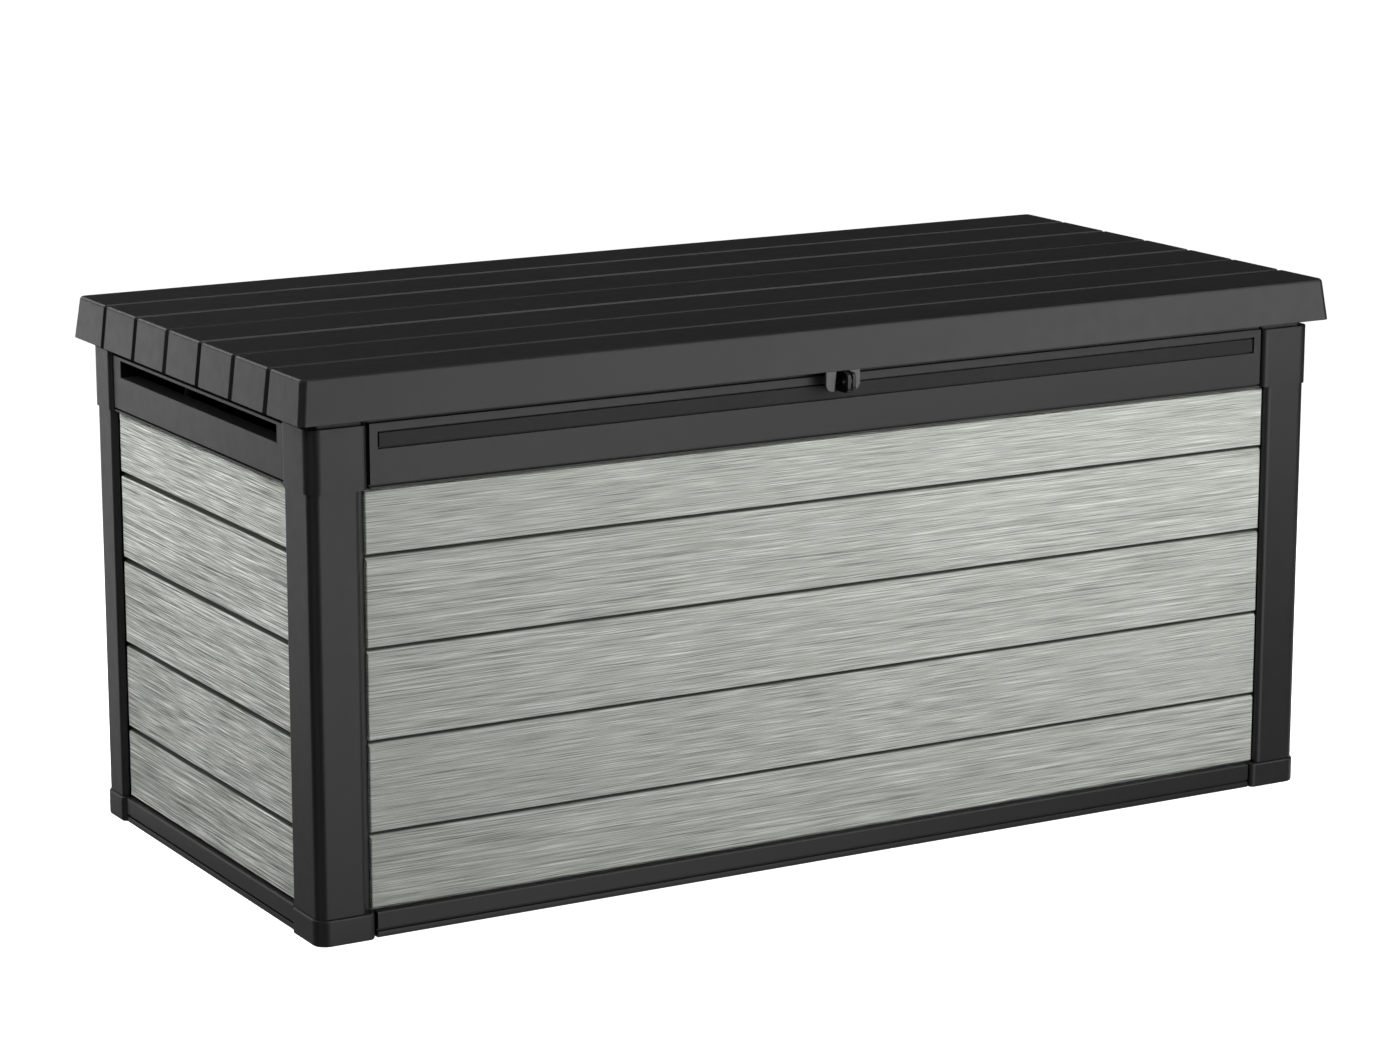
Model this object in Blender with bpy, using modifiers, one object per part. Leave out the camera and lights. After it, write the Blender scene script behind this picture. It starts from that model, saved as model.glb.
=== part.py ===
"""Deck storage box: moulded resin walls with lapped planks, a planked lid on a rear hinge, gas struts.

Units are metres. X is the length, -Y the front, +Z up. The origin is on the floor, at the middle of the
whole object. Everything hangs on the empty "box_frame", which sits at the middle of the box body: the
padlock tongue stands proud of the lid's front, so the two points differ by half of that.
"""
import bpy
import bmesh
from math import cos, pi, radians, sin
from mathutils import Matrix, Vector

# Overall
LENGTH = 1.535              # lid, at the bottom of its skirt
WIDTH = 0.7254
HEIGHT = 0.710
GAP = 0.0003                # running gap between touching pieces

# Lid
LID_DRAFT = 0.0068          # how far the skirt leans in over its height
LID_WALL = 0.0055
LID_CORNER = 0.0085
LID_EDGE = 0.004
SKIRT_BOTTOM = 0.654
LID_PLANKS = 7
LID_PLANK_PITCH = 0.104
GROOVE_WIDTH = 0.0085
GROOVE_DEPTH = 0.0035
LINER_SIZE = (1.470, 0.668)
LINER_THICK = 0.0145
LINER_POCKETS = 6

# Body
RIM_TOP = 0.688             # the lid's liner rests here
RAIL_BOTTOM = 0.5655
BASE_TOP = 0.034
RAIL_FACE = (0.7450, 0.3413)      # half sizes to the rails' outer faces, along X and Y
PANEL_FACE = (0.7380, 0.3330)
INNER_FACE = (0.7200, 0.3150)     # inside of the storage space
POST_FACE = (0.7467, 0.3416)
CAP_FACE = (0.7494, 0.3447)
POST_END_X = 0.6800               # where a post's front flange stops
CAP_END_X = 0.6705
POST_END_Y = {-1: 0.2625, 1: 0.2840}   # where its side flange stops, at the front and at the back
CAP_END_Y = {-1: 0.2650, 1: 0.2810}
POST_RADIUS = 0.014
CAP_RADIUS = 0.018
EDGE_RADIUS = 0.008

# Wall planks
LAP_PITCH = 0.1165
LAP_FIRST = 0.1341          # bottom edge of the second plank up
LAP_COUNT = 4
LAP_DEPTH = 0.004
LAP_UNDERCUT = 0.0038
LAP_HEIGHT = 0.0080

# Rails
BAND_BOTTOM = 0.6140
BAND_TOP = 0.6355
BAND_HALF_LENGTH = 0.6560
BAND_DEPTH = 0.0015
SLOT_FRONT = -0.2430        # hand slot in each end rail, along Y
SLOT_BACK = 0.2540

# Padlock tab and tongue
LOCK_X = -0.012
TAB_WIDTH = 0.0507
TAB_DROP = 0.0305
TAB_RADIUS = 0.010
TAB_THICK = 0.005
NOTCH_WIDTH = 0.020
NOTCH_TOP = 0.6575
TONGUE_TOP = 0.6550
TONGUE_THICK = 0.005
EAR_THICK = 0.004
EAR_OFFSET = 0.008          # from the tab's middle to the lid's ear
LOCK_PROUD = 0.015          # how far the tongue stands out of the skirt
LOCK_HOLE_RADIUS = 0.0042
LOCK_HOLE_Y = -0.3692
LOCK_HOLE_Z = 0.6410

# Hinge
HINGE_Y = 0.3520
HINGE_Z = 0.6455
HINGE_X = (-0.50, 0.0, 0.50)
KNUCKLE_RADIUS = 0.0065
KNUCKLE_LENGTH = 0.020
PIN_RADIUS = 0.0025
LEAF_THICK = 0.003

# Gas struts: both pivots are the same distance from the hinge, so a strut turns half as far as the lid
STRUT_X = 0.700
STRUT_REACH = 0.260
STRUT_LID_ANGLE = radians(5.85)      # above the horizontal, from the hinge towards the front
STRUT_SPREAD = radians(66)           # angle between the two pivots, seen from the hinge
TUBE_RADIUS = 0.009
BORE_RADIUS = 0.0052
ROD_RADIUS = 0.004
TUBE_LENGTH = 0.268
ROD_LENGTH = 0.263
STUD_RADIUS = 0.004
EYE_RADIUS = 0.0085
EYE_HOLE = 0.00435
EYE_WIDTH = 0.008
BRACKET_THICK = 0.003

PALETTE = {
    "charcoal": ((0.055, 0.056, 0.057, 1), 0.48, 0.0),
    "lid_charcoal": ((0.065, 0.066, 0.067, 1), 0.45, 0.0),
    "plank": ((0.42, 0.44, 0.40, 1), 0.55, 0.0),
    "black": ((0.012, 0.012, 0.013, 1), 0.40, 0.0),
    "steel": ((0.55, 0.56, 0.58, 1), 0.30, 1.0),
    "strut_black": ((0.015, 0.015, 0.016, 1), 0.35, 0.0),
}


def new_collection(name):
    collection = bpy.data.collections.new(name)
    bpy.context.scene.collection.children.link(collection)
    return collection


def put_in(obj, collection):
    for owner in list(obj.users_collection):
        owner.objects.unlink(obj)
    collection.objects.link(obj)


def part(obj, name, finish, parent):
    """Name an object, put it in the parts collection, colour it and hang it on its parent empty."""
    obj.name = name
    obj.data.name = name
    colour, roughness, metallic = PALETTE[finish]
    material = bpy.data.materials.new(f"{name}_{finish}")
    material.use_nodes = True
    shader = material.node_tree.nodes["Principled BSDF"]
    shader.inputs["Base Color"].default_value = colour
    shader.inputs["Roughness"].default_value = roughness
    shader.inputs["Metallic"].default_value = metallic
    obj.data.materials.append(material)
    put_in(obj, PARTS)
    hang(obj, parent)
    return obj


def place_of(empty):
    """Where an empty stands in the body's own coordinates."""
    place = Vector(empty.location)
    return place + place_of(empty.parent) if empty.parent else place


def hang(obj, parent):
    """Parent an object and keep it where it is."""
    obj.parent = parent
    obj.matrix_parent_inverse = Matrix.Translation(-place_of(parent))


def pivot(name, place, parent=None):
    """An empty that carries pieces and stands on their joint's axis."""
    empty = bpy.data.objects.new(name, None)
    empty.empty_display_size = 0.03
    PARTS.objects.link(empty)
    empty.location = place
    if parent:
        empty.location = Vector(place) - place_of(parent)
        empty.parent = parent
    return empty


def box(low, high, bevel=0.0, segments=2):
    """A box between two corners, with its scale applied and its edges rounded."""
    centre = [(a + b) / 2 for a, b in zip(low, high)]
    bpy.ops.mesh.primitive_cube_add(size=1, location=centre)
    obj = bpy.context.object
    obj.data.transform(Matrix.Diagonal([abs(b - a) for a, b in zip(low, high)] + [1]))
    if bevel:
        add_bevel(obj, bevel, segments)
    return obj


def cylinder(radius, start, end, sides=24):
    """A cylinder from one point to another."""
    start, end = Vector(start), Vector(end)
    run = end - start
    bpy.ops.mesh.primitive_cylinder_add(vertices=sides, radius=radius, depth=run.length)
    obj = bpy.context.object
    obj.rotation_euler = run.to_track_quat("Z", "Y").to_euler()
    obj.location = (start + end) / 2
    return obj


def add_bevel(obj, width, segments=2, angle=35):
    bevel = obj.modifiers.new("rounded_edges", "BEVEL")
    bevel.width = width
    bevel.segments = segments
    bevel.limit_method = "ANGLE"
    bevel.angle_limit = radians(angle)
    return obj


def arc(centre, radius, start, end, steps):
    """Points along an arc, angles in degrees."""
    angles = [radians(start + (end - start) * i / steps) for i in range(steps + 1)]
    return [(centre[0] + radius * cos(a), centre[1] + radius * sin(a)) for a in angles]


# How an outline's own x, y and depth lie in the object: (x axis, y axis, depth axis)
PLANES = {
    "XY": ((1, 0, 0), (0, 1, 0), (0, 0, 1)),
    "XZ": ((1, 0, 0), (0, 0, 1), (0, -1, 0)),
    "YZ": ((0, 1, 0), (0, 0, 1), (1, 0, 0)),
}


def extrusion(plane, outlines, low, high, bevel=0.0):
    """A flat outline, with any holes, made thick from low to high across its plane."""
    curve = bpy.data.curves.new("outline", "CURVE")
    curve.dimensions = "2D"
    curve.fill_mode = "BOTH"
    curve.extrude = (high - low) / 2
    for points in outlines:
        spline = curve.splines.new("POLY")
        spline.points.add(len(points) - 1)
        for point, (x, y) in zip(spline.points, points):
            point.co = (x, y, 0, 1)
        spline.use_cyclic_u = True
    obj = bpy.data.objects.new("outline", curve)
    bpy.context.scene.collection.objects.link(obj)
    axes = [Vector(axis) for axis in PLANES[plane]]
    middle = (low + high) / 2 * Vector([abs(v) for v in axes[2]])
    turn = Matrix([axes[0], axes[1], axes[2]]).transposed().to_4x4()
    obj.matrix_world = Matrix.Translation(middle) @ turn
    return solid(obj, bevel)


def solid(curve_obj, bevel=0.0):
    """The curve as a closed mesh, its caps welded on."""
    bpy.context.view_layer.update()
    graph = bpy.context.evaluated_depsgraph_get()
    mesh = bpy.data.meshes.new_from_object(curve_obj.evaluated_get(graph))
    work = bmesh.new()
    work.from_mesh(mesh)
    bmesh.ops.remove_doubles(work, verts=work.verts, dist=0.00001)
    bmesh.ops.recalc_face_normals(work, faces=work.faces)
    work.to_mesh(mesh)
    work.free()
    obj = bpy.data.objects.new("solid", mesh)
    bpy.context.scene.collection.objects.link(obj)
    obj.matrix_world = curve_obj.matrix_world
    bpy.data.objects.remove(curve_obj)
    if bevel:
        add_bevel(obj, bevel)
    return obj


def boolean(target, tool, operation):
    """Cut or join with a tool that stays in the cutters' collection."""
    tool.name = f"tool_{target.name}"
    put_in(tool, CUTTERS)
    tool.hide_render = True
    tool.display_type = "WIRE"
    hang(tool, target.parent)
    modifier = target.modifiers.new(operation.lower(), "BOOLEAN")
    modifier.operation = operation
    modifier.solver = "EXACT"
    modifier.object = tool


def cut(target, tool):
    boolean(target, tool, "DIFFERENCE")


def join(target, tool):
    boolean(target, tool, "UNION")


def corner_outline(side_x, side_y, outer, inner, end_x, end_y, radius, edge):
    """An L around one corner: rounded outer corner, rounded flange ends, square inside."""
    outer_x, outer_y = outer
    inner_x, inner_y = inner
    points = [(end_x, inner_y)]
    points += arc((end_x + edge, outer_y - edge), edge, 180, 90, 3)
    points += arc((outer_x - radius, outer_y - radius), radius, 90, 0, 5)
    points += arc((outer_x - edge, end_y + edge), edge, 0, -90, 3)
    points += [(inner_x, end_y), (inner_x, inner_y)]
    return [(side_x * x, side_y * y) for x, y in points]


def corners():
    for side_y, depth in ((-1, "front"), (1, "back")):
        for side_x, hand in ((-1, "left"), (1, "right")):
            yield side_x, side_y, f"{depth}_{hand}"


def build_corners():
    """Feet, posts and caps: three L-shaped mouldings stacked at each corner."""
    for side_x, side_y, where in corners():
        low = corner_outline(side_x, side_y, CAP_FACE, INNER_FACE, CAP_END_X, CAP_END_Y[side_y],
                             CAP_RADIUS, EDGE_RADIUS)
        post = corner_outline(side_x, side_y, POST_FACE, (PANEL_FACE[0] + GAP, PANEL_FACE[1] + GAP),
                              POST_END_X, POST_END_Y[side_y], POST_RADIUS, EDGE_RADIUS)
        part(extrusion("XY", [low], 0, BASE_TOP, 0.003), f"foot_{where}", "charcoal", BODY)
        part(extrusion("XY", [post], BASE_TOP + GAP, RAIL_BOTTOM - GAP, 0.0008),
             f"corner_post_{where}", "charcoal", BODY)
        part(extrusion("XY", [low], RAIL_BOTTOM, RIM_TOP, 0.0012), f"post_cap_{where}", "charcoal", BODY)


def lapped_profile(face, inner, low, high):
    """Section of a wall panel: five planks, each one's bottom edge lapping over the next."""
    points = [(inner, low), (face, low)]
    for i in range(LAP_COUNT):
        lap = LAP_FIRST + LAP_PITCH * i
        points += [(face, lap - LAP_HEIGHT), (face - LAP_DEPTH, lap - LAP_UNDERCUT),
                   (face - LAP_DEPTH, lap), (face, lap)]
    return points + [(face, high), (inner, high)]


def build_panels():
    low = BASE_TOP + GAP
    high = RAIL_BOTTOM - GAP
    half_length = PANEL_FACE[0] - GAP
    half_width = INNER_FACE[1] - GAP
    long_wall = lapped_profile(PANEL_FACE[1], INNER_FACE[1], low, high)
    end_wall = lapped_profile(PANEL_FACE[0], INNER_FACE[0], low, high)
    for sign, name in ((-1, "front"), (1, "back")):
        outline = [(sign * y, z) for y, z in long_wall]
        part(extrusion("YZ", [outline], -half_length, half_length), f"wall_panel_{name}", "plank", BODY)
    for sign, name in ((-1, "left"), (1, "right")):
        outline = [(sign * x, z) for x, z in end_wall]
        part(extrusion("XZ", [outline], -half_width, half_width), f"wall_panel_{name}", "plank", BODY)


def rail_boxes(low, high, lip):
    """The four straight rails between the corners at one level, as (name, box)."""
    reach_x = CAP_END_X - GAP
    for sign, name in ((-1, "front"), (1, "back")):
        ys = sorted((sign * RAIL_FACE[1], sign * INNER_FACE[1]))
        yield name, box((-reach_x, ys[0], low), (reach_x, ys[1], high), lip)
    for sign, name in ((-1, "left"), (1, "right")):
        xs = sorted((sign * RAIL_FACE[0], sign * INNER_FACE[0]))
        front, back = -CAP_END_Y[-1] + GAP, CAP_END_Y[1] - GAP
        yield name, box((xs[0], front, low), (xs[1], back, high), lip)


def build_rails():
    for name, obj in rail_boxes(0.001, BASE_TOP, 0.0015):
        part(obj, f"base_rail_{name}", "charcoal", BODY)
    for name, obj in rail_boxes(RAIL_BOTTOM, RIM_TOP, 0.0012):
        rail = part(obj, f"top_rail_{name}", "charcoal", BODY)
        if name == "front" or name == "back":
            sign = -1 if name == "front" else 1
            ys = sorted((sign * (RAIL_FACE[1] - BAND_DEPTH), sign * (RAIL_FACE[1] + 0.01)))
            cut(rail, box((-BAND_HALF_LENGTH, ys[0], BAND_BOTTOM), (BAND_HALF_LENGTH, ys[1], BAND_TOP)))
        else:
            sign = -1 if name == "left" else 1
            xs = sorted((sign * (INNER_FACE[0] - 0.01), sign * (RAIL_FACE[0] + 0.01)))
            cut(rail, box((xs[0], SLOT_FRONT, BAND_BOTTOM), (xs[1], SLOT_BACK, BAND_TOP), 0.004))


def build_floor():
    """Floor tray inside the base rails, stiffened by channels pressed into its underside."""
    half_x, half_y = INNER_FACE[0] - GAP, INNER_FACE[1] - GAP
    floor = box((-half_x, -half_y, 0.004), (half_x, half_y, 0.026), 0.001)
    part(floor, "floor_panel", "charcoal", BODY)
    channels = 7
    for i in range(channels):
        x = (i - (channels - 1) / 2) * 0.200
        cut(floor, box((x - 0.080, -half_y + 0.03, -0.002), (x + 0.080, half_y - 0.03, 0.018)))


def lid_frustum():
    """The lid's outer surface, open below: drafted skirt, rounded corners and top edge."""
    work = bmesh.new()
    bmesh.ops.create_cube(work, size=1)
    for vert in work.verts:
        at_top = vert.co.z > 0
        lean = LID_DRAFT if at_top else 0
        vert.co.x = (LENGTH / 2 - lean) * (1 if vert.co.x > 0 else -1)
        vert.co.y = (WIDTH / 2 - lean) * (1 if vert.co.y > 0 else -1)
        vert.co.z = HEIGHT if at_top else SKIRT_BOTTOM
    upright = [e for e in work.edges if abs(e.verts[0].co.z - e.verts[1].co.z) > 0.01]
    bmesh.ops.bevel(work, geom=upright, offset=LID_CORNER, segments=4, affect="EDGES", profile=0.5)
    top = [e for e in work.edges if e.verts[0].co.z > HEIGHT - 0.001 and e.verts[1].co.z > HEIGHT - 0.001]
    bmesh.ops.bevel(work, geom=top, offset=LID_EDGE, segments=2, affect="EDGES", profile=0.5)
    floor = [f for f in work.faces if all(v.co.z < SKIRT_BOTTOM + 0.001 for v in f.verts)]
    bmesh.ops.delete(work, geom=floor, context="FACES")
    mesh = bpy.data.meshes.new("lid_shell")
    work.to_mesh(mesh)
    work.free()
    obj = bpy.data.objects.new("lid_shell", mesh)
    bpy.context.scene.collection.objects.link(obj)
    wall = obj.modifiers.new("wall", "SOLIDIFY")
    wall.thickness = LID_WALL
    wall.offset = -1
    wall.use_even_offset = True
    return obj


def groove_section():
    """A band wrapped over the lid from skirt to skirt, one groove depth inside its surface."""
    half = LENGTH / 2
    margin = 0.01
    inside = [(half - GROOVE_DEPTH, SKIRT_BOTTOM - margin), (half - GROOVE_DEPTH, SKIRT_BOTTOM),
              (half - LID_DRAFT - GROOVE_DEPTH, HEIGHT - GROOVE_DEPTH)]
    outside = [(half + margin, SKIRT_BOTTOM - margin), (half + margin, HEIGHT + margin)]
    right = outside[::-1] + inside
    return right + [(-x, z) for x, z in right[::-1]]


def tab_outline():
    """The padlock tab: hangs from the skirt, round lower corners, notched for the tongue."""
    left, right = LOCK_X - TAB_WIDTH / 2, LOCK_X + TAB_WIDTH / 2
    top = SKIRT_BOTTOM + 0.0025
    bottom = SKIRT_BOTTOM - TAB_DROP
    notch_left, notch_right = LOCK_X - NOTCH_WIDTH / 2, LOCK_X + NOTCH_WIDTH / 2
    round_top = bottom + TAB_RADIUS
    points = [(left, top)]
    points += arc((left + TAB_RADIUS, round_top), TAB_RADIUS, 180, 270, 5)
    points += [(notch_left, bottom), (notch_left, SKIRT_BOTTOM - 0.001)]
    points += [(notch_right, SKIRT_BOTTOM - 0.001), (notch_right, bottom)]
    points += arc((right - TAB_RADIUS, round_top), TAB_RADIUS, 270, 360, 5)
    return points + [(right, top)]


def eye_outline(back, front, low, high):
    """A lug seen from the side: square at the back, rounded at the front, with the shackle hole."""
    radius = 0.007
    lug = [(back, low)]
    lug += arc((front + radius, low + radius), radius, 270, 180, 4)
    lug += arc((front + radius, high - radius), radius, 180, 90, 4)
    lug += [(back, high)]
    hole = arc((LOCK_HOLE_Y, LOCK_HOLE_Z), LOCK_HOLE_RADIUS, 0, 342, 19)
    return [lug, hole]


def build_lid():
    shell = part(lid_frustum(), "lid_shell", "lid_charcoal", LID)
    front = -WIDTH / 2
    join(shell, extrusion("XZ", [tab_outline()], front + GAP, front + GAP + TAB_THICK))
    ear = LOCK_X + EAR_OFFSET
    join(shell, extrusion("YZ", eye_outline(front + 0.004, front - LOCK_PROUD + 0.002, 0.6285, 0.6535),
                          ear - EAR_THICK / 2, ear + NOTCH_WIDTH / 2 - EAR_OFFSET + 0.001))
    cut(shell, box((LOCK_X - NOTCH_WIDTH / 2, front - 0.01, SKIRT_BOTTOM - 0.003),
                   (ear - EAR_THICK / 2, front + 0.015, NOTCH_TOP)))
    for i in range(LID_PLANKS - 1):
        y = (i - (LID_PLANKS - 2) / 2) * LID_PLANK_PITCH
        cut(shell, extrusion("XZ", [groove_section()], y - GROOVE_WIDTH / 2, y + GROOVE_WIDTH / 2))
    build_liner()


def build_liner():
    """Inner lid panel: rests on the body's rim, with stiffening pockets in its underside."""
    half_x, half_y = LINER_SIZE[0] / 2, LINER_SIZE[1] / 2
    low = RIM_TOP + 0.0005
    liner = box((-half_x, -half_y, low), (half_x, half_y, low + LINER_THICK), 0.001)
    part(liner, "lid_liner", "black", LID)
    pitch = 0.218
    for i in range(LINER_POCKETS):
        x = (i - (LINER_POCKETS - 1) / 2) * pitch
        cut(liner, box((x - 0.092, -0.285, low - 0.005), (x + 0.092, 0.285, low + 0.010), 0.003))


def build_lock_tongue():
    """The body's half of the padlock eye: a tongue on a small base that the lid's notch drops over."""
    face = -RAIL_FACE[1] - GAP
    plate = box((LOCK_X - 0.014, face - 0.004, 0.6180), (LOCK_X + 0.014, face, 0.6580), 0.001)
    tongue = part(plate, "padlock_tongue", "black", BODY)
    left = LOCK_X - TONGUE_THICK / 2
    join(tongue, extrusion("YZ", eye_outline(face - 0.002, -WIDTH / 2 - LOCK_PROUD, 0.6270, TONGUE_TOP),
                           left, left + TONGUE_THICK))


def build_hinges():
    """Three butt hinges behind the rear rail, under the lid's overhang."""
    centre_y, centre_z = HINGE_Y, HINGE_Z
    face = RAIL_FACE[1] + GAP
    for number, x in enumerate(HINGE_X, 1):
        outer = KNUCKLE_LENGTH * 1.5
        leaf = box((x - outer, face, 0.6100), (x + outer, face + LEAF_THICK, centre_z - 0.0035), 0.0006)
        leaf = part(leaf, f"hinge_body_leaf_{number}", "steel", BODY)
        for sign in (-1, 1):
            ends = sorted((x + sign * (KNUCKLE_LENGTH / 2 + GAP), x + sign * outer))
            web = box((ends[0], face + 0.001, centre_z - 0.006), (ends[1], centre_y, centre_z + 0.001))
            join(leaf, web)
            join(leaf, cylinder(KNUCKLE_RADIUS, (ends[0], centre_y, centre_z),
                                (ends[1], centre_y, centre_z)))
        cut(leaf, cylinder(PIN_RADIUS + 0.0002, (x - 0.05, centre_y, centre_z),
                           (x + 0.05, centre_y, centre_z), 16))
        half = KNUCKLE_LENGTH / 2 - GAP
        knuckle = cylinder(KNUCKLE_RADIUS, (x - half, centre_y, centre_z), (x + half, centre_y, centre_z))
        lid_leaf = part(knuckle, f"hinge_lid_leaf_{number}", "steel", LID)
        join(lid_leaf, box((x - half, centre_y + 0.0004, centre_z + 0.0025),
                           (x + half, centre_y + 0.0030, centre_z + 0.0200)))
        cut(lid_leaf, cylinder(PIN_RADIUS + 0.0002, (x - 0.05, centre_y, centre_z),
                               (x + 0.05, centre_y, centre_z), 16))
        pin = cylinder(PIN_RADIUS, (x - outer - 0.001, centre_y, centre_z),
                       (x + outer + 0.001, centre_y, centre_z), 16)
        part(pin, f"hinge_pin_{number}", "steel", BODY)


def strut_points():
    """Lower and upper pivot of a strut in the Y-Z plane, lid closed."""
    upper = STRUT_LID_ANGLE
    lower = STRUT_LID_ANGLE - STRUT_SPREAD
    return [(HINGE_Y - STRUT_REACH * cos(a), HINGE_Z + STRUT_REACH * sin(a)) for a in (lower, upper)]


def eye_end(target, x, place, hole=True):
    """The flat eye at a strut's end, bored for its stud."""
    half = EYE_WIDTH / 2
    join(target, cylinder(EYE_RADIUS, (x - half, *place), (x + half, *place)))
    if hole:
        cut(target, cylinder(EYE_HOLE, (x - 0.02, *place), (x + 0.02, *place), 20))


def build_struts():
    lower, upper = strut_points()
    along = (Vector(upper) - Vector(lower)).normalized()

    def at(x, start, distance):
        return (x, start[0] + along.x * distance, start[1] + along.y * distance)

    for sign, name in ((-1, "left"), (1, "right")):
        x = sign * STRUT_X
        tube_pivot = pivot(f"strut_tube_pivot_{name}", (x, *lower), BODY)
        rod_pivot = pivot(f"strut_rod_pivot_{name}", (x, *upper), LID)
        tube = cylinder(TUBE_RADIUS, at(x, lower, 0.012), at(x, lower, TUBE_LENGTH))
        tube = part(tube, f"strut_tube_{name}", "strut_black", tube_pivot)
        join(tube, box((x - 0.004, lower[0] - 0.005, lower[1] - 0.002),
                       (x + 0.004, lower[0] + 0.003, lower[1] + 0.014)))
        eye_end(tube, x, lower)
        cut(tube, cylinder(BORE_RADIUS, at(x, lower, 0.018), at(x, lower, TUBE_LENGTH + 0.01), 20))
        rod = cylinder(ROD_RADIUS, at(x, upper, -ROD_LENGTH), at(x, upper, -0.006), 16)
        rod = part(rod, f"strut_rod_{name}", "steel", rod_pivot)
        eye_end(rod, x, upper)
        build_strut_brackets(sign, name, lower, upper)


def build_strut_brackets(sign, name, lower, upper):
    """Ball-stud plates: one screwed to the end wall, one to the lid's liner."""
    wall = sign * (INNER_FACE[0] - GAP)
    plate_in = wall - sign * BRACKET_THICK
    stud_end = sign * (STRUT_X - 0.007)
    y, z = lower
    xs = sorted((wall, plate_in))
    plate = box((xs[0], y - 0.014, z - 0.026), (xs[1], y + 0.014, z + 0.026), 0.001)
    bracket = part(plate, f"strut_wall_bracket_{name}", "steel", BODY)
    join(bracket, cylinder(STUD_RADIUS, (plate_in + sign * 0.001, y, z), (stud_end, y, z), 20))
    y, z = upper
    under = RIM_TOP + 0.0005 - GAP
    lug = sorted((sign * (STRUT_X + 0.0125), sign * (STRUT_X + 0.0155)))
    flange = sorted((sign * (STRUT_X - 0.012), sign * (STRUT_X + 0.0155)))
    hanger = box((flange[0], y - 0.022, under - BRACKET_THICK), (flange[1], y + 0.022, under), 0.0006)
    hanger = part(hanger, f"strut_lid_bracket_{name}", "steel", LID)
    join(hanger, box((lug[0], y - 0.008, z - 0.008), (lug[1], y + 0.008, under - 0.001)))
    join(hanger, cylinder(STUD_RADIUS, (lug[0] + 0.001, y, z) if sign > 0 else (lug[1] - 0.001, y, z),
                          (stud_end, y, z), 20))
    for number, dz in enumerate((-0.019, 0.019), 1):
        screw_head(f"wall_bracket_screw_{name}_{number}", (plate_in, lower[0], lower[1] + dz),
                   (-sign, 0, 0), BODY)
    for number, dy in enumerate((-0.016, 0.016), 1):
        screw_head(f"lid_bracket_screw_{name}_{number}", (sign * (STRUT_X + 0.004), y + dy,
                   under - BRACKET_THICK), (0, 0, -1), LID)


def screw_head(name, place, direction, parent):
    """A pan-head screw's head, standing on a plate."""
    start = Vector(place) + GAP * Vector(direction)
    head = cylinder(0.004, start, start + 0.0022 * Vector(direction), 12)
    add_bevel(head, 0.0008)
    part(head, name, "steel", parent)


for old in list(bpy.data.objects):
    bpy.data.objects.remove(old)

PARTS = new_collection("deck_storage_box")
CUTTERS = new_collection("cutters")
BODY = pivot("box_frame", (0, 0, 0))
LID = pivot("lid_pivot", (0, HINGE_Y, HINGE_Z), BODY)

build_floor()
build_corners()
build_panels()
build_rails()
build_lid()
build_lock_tongue()
build_hinges()
build_struts()
BODY.location = (0, LOCK_PROUD / 2, 0)

for obj in PARTS.objects:
    if obj.type == "MESH":
        obj.data.shade_smooth()
        obj.data.set_sharp_from_angle(angle=radians(35))
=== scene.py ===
"""Looks of the deck storage box: moulded charcoal frame, grained planks, planked lid, soft studio light.

Units are metres, in the frame's own coordinates: X is the length, -Y the front, +Z up.
Each visible moulding is rebuilt here with its lips, gaps and rounded edges, inside its CAD node's box.
"""

from math import cos, pi, radians, sin

import bmesh
import bpy
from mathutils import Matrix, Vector


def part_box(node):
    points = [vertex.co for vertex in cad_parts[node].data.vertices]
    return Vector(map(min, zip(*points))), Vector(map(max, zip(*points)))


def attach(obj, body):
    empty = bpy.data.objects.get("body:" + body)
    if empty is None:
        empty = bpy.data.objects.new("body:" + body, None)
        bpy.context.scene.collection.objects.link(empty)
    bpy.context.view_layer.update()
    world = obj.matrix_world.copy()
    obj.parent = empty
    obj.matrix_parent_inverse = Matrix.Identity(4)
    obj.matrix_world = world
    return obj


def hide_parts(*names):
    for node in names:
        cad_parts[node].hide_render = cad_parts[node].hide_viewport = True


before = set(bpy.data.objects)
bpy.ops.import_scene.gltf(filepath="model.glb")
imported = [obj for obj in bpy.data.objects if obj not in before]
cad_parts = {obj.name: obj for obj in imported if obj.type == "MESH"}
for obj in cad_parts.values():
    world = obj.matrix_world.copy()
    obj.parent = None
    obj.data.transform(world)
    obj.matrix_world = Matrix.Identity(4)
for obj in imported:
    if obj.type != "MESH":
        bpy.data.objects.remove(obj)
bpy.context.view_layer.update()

# ---------------------------------------------------------------- sizes the mouldings share
CORNER_STEPS = 10
GAP = 0.0003                 # running gap between touching pieces
HAIRLINE = 0.0001            # width of a step that only has to be sharp
TOLERANCE = 0.0002           # how close a point has to be to count as lying on a face
BODY_SHIFT = 0.0075          # the box body stands this far behind the object's middle

LID_DEPTH = 0.7254           # front to back, at the bottom of the skirt
LID_SKIRT_BOTTOM = 0.654
LID_DRAFT = 0.0068
LID_WALL = 0.0055
LID_CORNER = 0.0085
LID_EDGE = 0.0042
LID_INNER_EDGE = 0.001
SKIRT_EDGE = 0.0009
LID_PLANKS = 7
LID_PITCH = 0.104
GROOVE_WIDTH = 0.0105
GROOVE_DEPTH = 0.0040
# How far from a groove's middle each cut line runs, as a share of its width, and how deep it is pushed in
GROOVE_LINES = ((0.66, 0.0), (0.56, 0.06), (0.49, 0.24), (0.36, 0.86), (0.28, 1.0))

LAP_PITCH = 0.1165
LAP_FIRST = 0.1341
LAP_COUNT = 4
SLAB_SINK = 0.006            # the wall behind the planks lies this far inside their faces
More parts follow.
